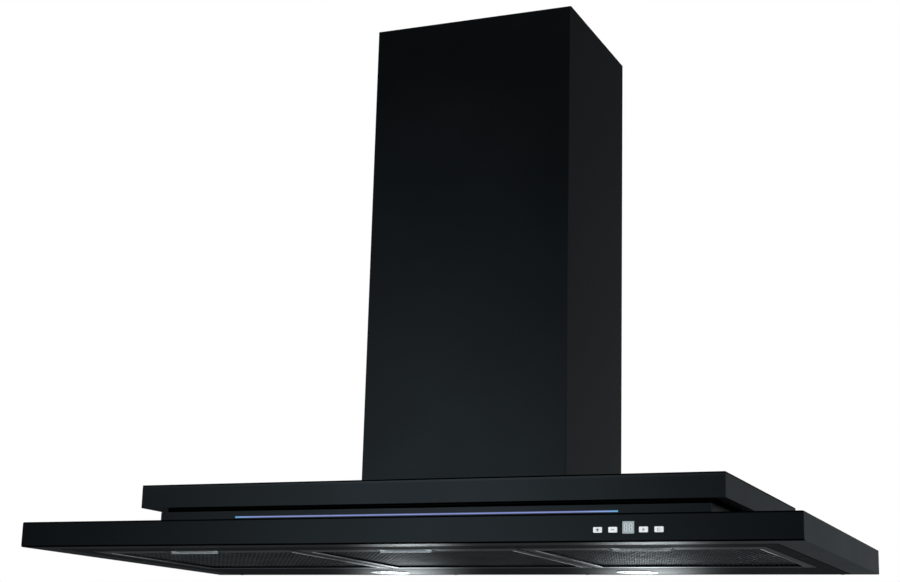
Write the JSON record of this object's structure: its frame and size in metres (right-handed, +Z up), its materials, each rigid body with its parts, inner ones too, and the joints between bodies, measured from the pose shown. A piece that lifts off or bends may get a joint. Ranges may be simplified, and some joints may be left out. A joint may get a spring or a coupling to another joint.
{
  "type": "canopy range hood",
  "caption": "Wall-hung stepped canopy range hood: telescoping chimney, ducted blower, hinged mesh filters, push buttons, small display, light strip and lamps.",
  "frame": {"origin": "centre of the wall bracket's screw pattern, on the wall plane, 280 mm above the underside", "axes": "+Z up, +Y into the wall, so the front faces -Y; +X along the hood's width, to the right seen from the front"},
  "size_m": [1.2, 0.6012, 0.91],
  "materials": {
    "black_paint": "satin black powder coat",
    "pan_paint": "matt black powder coat",
    "fascia_paint": "satin blue-black coat",
    "galvanised_steel": "zinc coated",
    "filter_aluminium": "satin",
    "mesh_aluminium": "expanded mesh",
    "latch_metal": "polished",
    "spring_steel": "bright wire",
    "screw_steel": "blackened",
    "lamp_rim": "satin",
    "lamp_glass": "frosted",
    "cast_aluminium": "cast",
    "strip_light": "light diffusing",
    "circuit_board": "lacquered",
    "driver_plastic": "moulded",
    "scroll_plastic": "moulded",
    "impeller_plastic": "moulded",
    "motor_paint": "satin",
    "grommet_rubber": "matt",
    "capacitor_plastic": "moulded",
    "collar_plastic": "moulded",
    "junction_plastic": "moulded",
    "gland_nylon": "moulded",
    "display_plastic": "smoked",
    "button_silver": "silver",
    "cable_sheath": "sheathed"
  },
  "bodies": {
    "hood_body": {"lower_canopy_shell": "black_paint", "neck_wrap": "black_paint", "upper_canopy_shell": "black_paint", "upper_canopy_soffit": "black_paint", "chimney_lower_cover": "black_paint", "underside_pan": "pan_paint", "filter_rails": "pan_paint", "lower_front_fascia": "fascia_paint", "wall_bracket": "galvanised_steel", "blower_box_shell": "galvanised_steel", "blower_box_front": "galvanised_steel", "blower_box_top": "galvanised_steel", "motor_bracket": "galvanised_steel", "pan_screws": "screw_steel", "lamp_bezel_left": "lamp_rim", "lamp_bezel_right": "lamp_rim", "lamp_lens_left": "lamp_glass", "lamp_lens_right": "lamp_glass", "lamp_heatsinks": "cast_aluminium", "led_channel": "cast_aluminium", "led_diffuser": "strip_light", "led_board": "circuit_board", "control_board": "circuit_board", "led_driver": "driver_plastic", "scroll_left": "scroll_plastic", "scroll_right": "scroll_plastic", "motor_body": "motor_paint", "motor_grommets": "grommet_rubber", "capacitor": "capacitor_plastic", "outlet_collar": "collar_plastic", "junction_box": "junction_plastic", "junction_box_lid": "junction_plastic", "cable_gland": "gland_nylon", "control_housing": "gland_nylon", "display_window": "display_plastic", "wiring_lamps": "cable_sheath", "wiring_controls": "cable_sheath", "wiring_motor": "cable_sheath"},
    "chimney_upper": {"chimney_upper_cover": "black_paint", "chimney_wall_bracket": "galvanised_steel"},
    "impeller": {"impeller": "impeller_plastic", "motor_shaft": "spring_steel"},
    "flap_front": {"damper_flap_front": "collar_plastic"},
    "flap_rear": {"damper_flap_rear": "collar_plastic"},
    "filter_left": {"filter_frame_left": "filter_aluminium", "filter_mesh_left": "mesh_aluminium", "latch_spring_left": "spring_steel"},
    "latch_left": {"filter_latch_left": "latch_metal"},
    "filter_middle": {"filter_frame_middle": "filter_aluminium", "filter_mesh_middle": "mesh_aluminium", "latch_spring_middle": "spring_steel"},
    "latch_middle": {"filter_latch_middle": "latch_metal"},
    "filter_right": {"filter_frame_right": "filter_aluminium", "filter_mesh_right": "mesh_aluminium", "latch_spring_right": "spring_steel"},
    "latch_right": {"filter_latch_right": "latch_metal"},
    "button_light": {"button_light": "button_silver"},
    "button_minus": {"button_minus": "button_silver"},
    "button_plus": {"button_plus": "button_silver"},
    "button_power": {"button_power": "button_silver"}
  },
  "joints": [
    {"name": "chimney_extension", "type": "slide", "parent": "hood_body", "child": "chimney_upper", "axis": [0, 0, 1], "range_m": [0, 0.4]},
    {"name": "impeller_spin", "type": "hinge", "parent": "hood_body", "child": "impeller", "pos_m": [0, -0.135, -0.04], "axis": [1, 0, 0], "continuous": true},
    {"name": "flap_front_swing", "type": "hinge", "parent": "hood_body", "child": "flap_front", "pos_m": [0, -0.176, 0.1382], "axis": [-1, 0, 0], "range_deg": [0, 75]},
    {"name": "flap_rear_swing", "type": "hinge", "parent": "hood_body", "child": "flap_rear", "pos_m": [0, -0.17, 0.1382], "axis": [1, 0, 0], "range_deg": [0, 75]},
    {"name": "filter_left_drop", "type": "hinge", "parent": "hood_body", "child": "filter_left", "pos_m": [-0.356, -0.1485, -0.2785], "axis": [1, 0, 0], "range_deg": [0, 75]},
    {"name": "latch_left_pull", "type": "slide", "parent": "filter_left", "child": "latch_left", "axis": [0, 1, 0], "range_m": [0, 0.0055], "stiffness_N_per_m": 300, "springref_m": -0.004, "deforming": ["latch_spring_left"]},
    {"name": "filter_middle_drop", "type": "hinge", "parent": "hood_body", "child": "filter_middle", "pos_m": [0, -0.1485, -0.2785], "axis": [1, 0, 0], "range_deg": [0, 75]},
    {"name": "latch_middle_pull", "type": "slide", "parent": "filter_middle", "child": "latch_middle", "axis": [0, 1, 0], "range_m": [0, 0.0055], "stiffness_N_per_m": 300, "springref_m": -0.004, "deforming": ["latch_spring_middle"]},
    {"name": "filter_right_drop", "type": "hinge", "parent": "hood_body", "child": "filter_right", "pos_m": [0.356, -0.1485, -0.2785], "axis": [1, 0, 0], "range_deg": [0, 75]},
    {"name": "latch_right_pull", "type": "slide", "parent": "filter_right", "child": "latch_right", "axis": [0, 1, 0], "range_m": [0, 0.0055], "stiffness_N_per_m": 300, "springref_m": -0.004, "deforming": ["latch_spring_right"]},
    {"name": "button_light_press", "type": "slide", "parent": "hood_body", "child": "button_light", "axis": [0, 1, 0], "range_m": [0, 0.001], "stiffness_N_per_m": 500, "springref_m": -0.0006},
    {"name": "button_minus_press", "type": "slide", "parent": "hood_body", "child": "button_minus", "axis": [0, 1, 0], "range_m": [0, 0.001], "stiffness_N_per_m": 500, "springref_m": -0.0006},
    {"name": "button_plus_press", "type": "slide", "parent": "hood_body", "child": "button_plus", "axis": [0, 1, 0], "range_m": [0, 0.001], "stiffness_N_per_m": 500, "springref_m": -0.0006},
    {"name": "button_power_press", "type": "slide", "parent": "hood_body", "child": "button_power", "axis": [0, 1, 0], "range_m": [0, 0.001], "stiffness_N_per_m": 500, "springref_m": -0.0006}
  ]
}
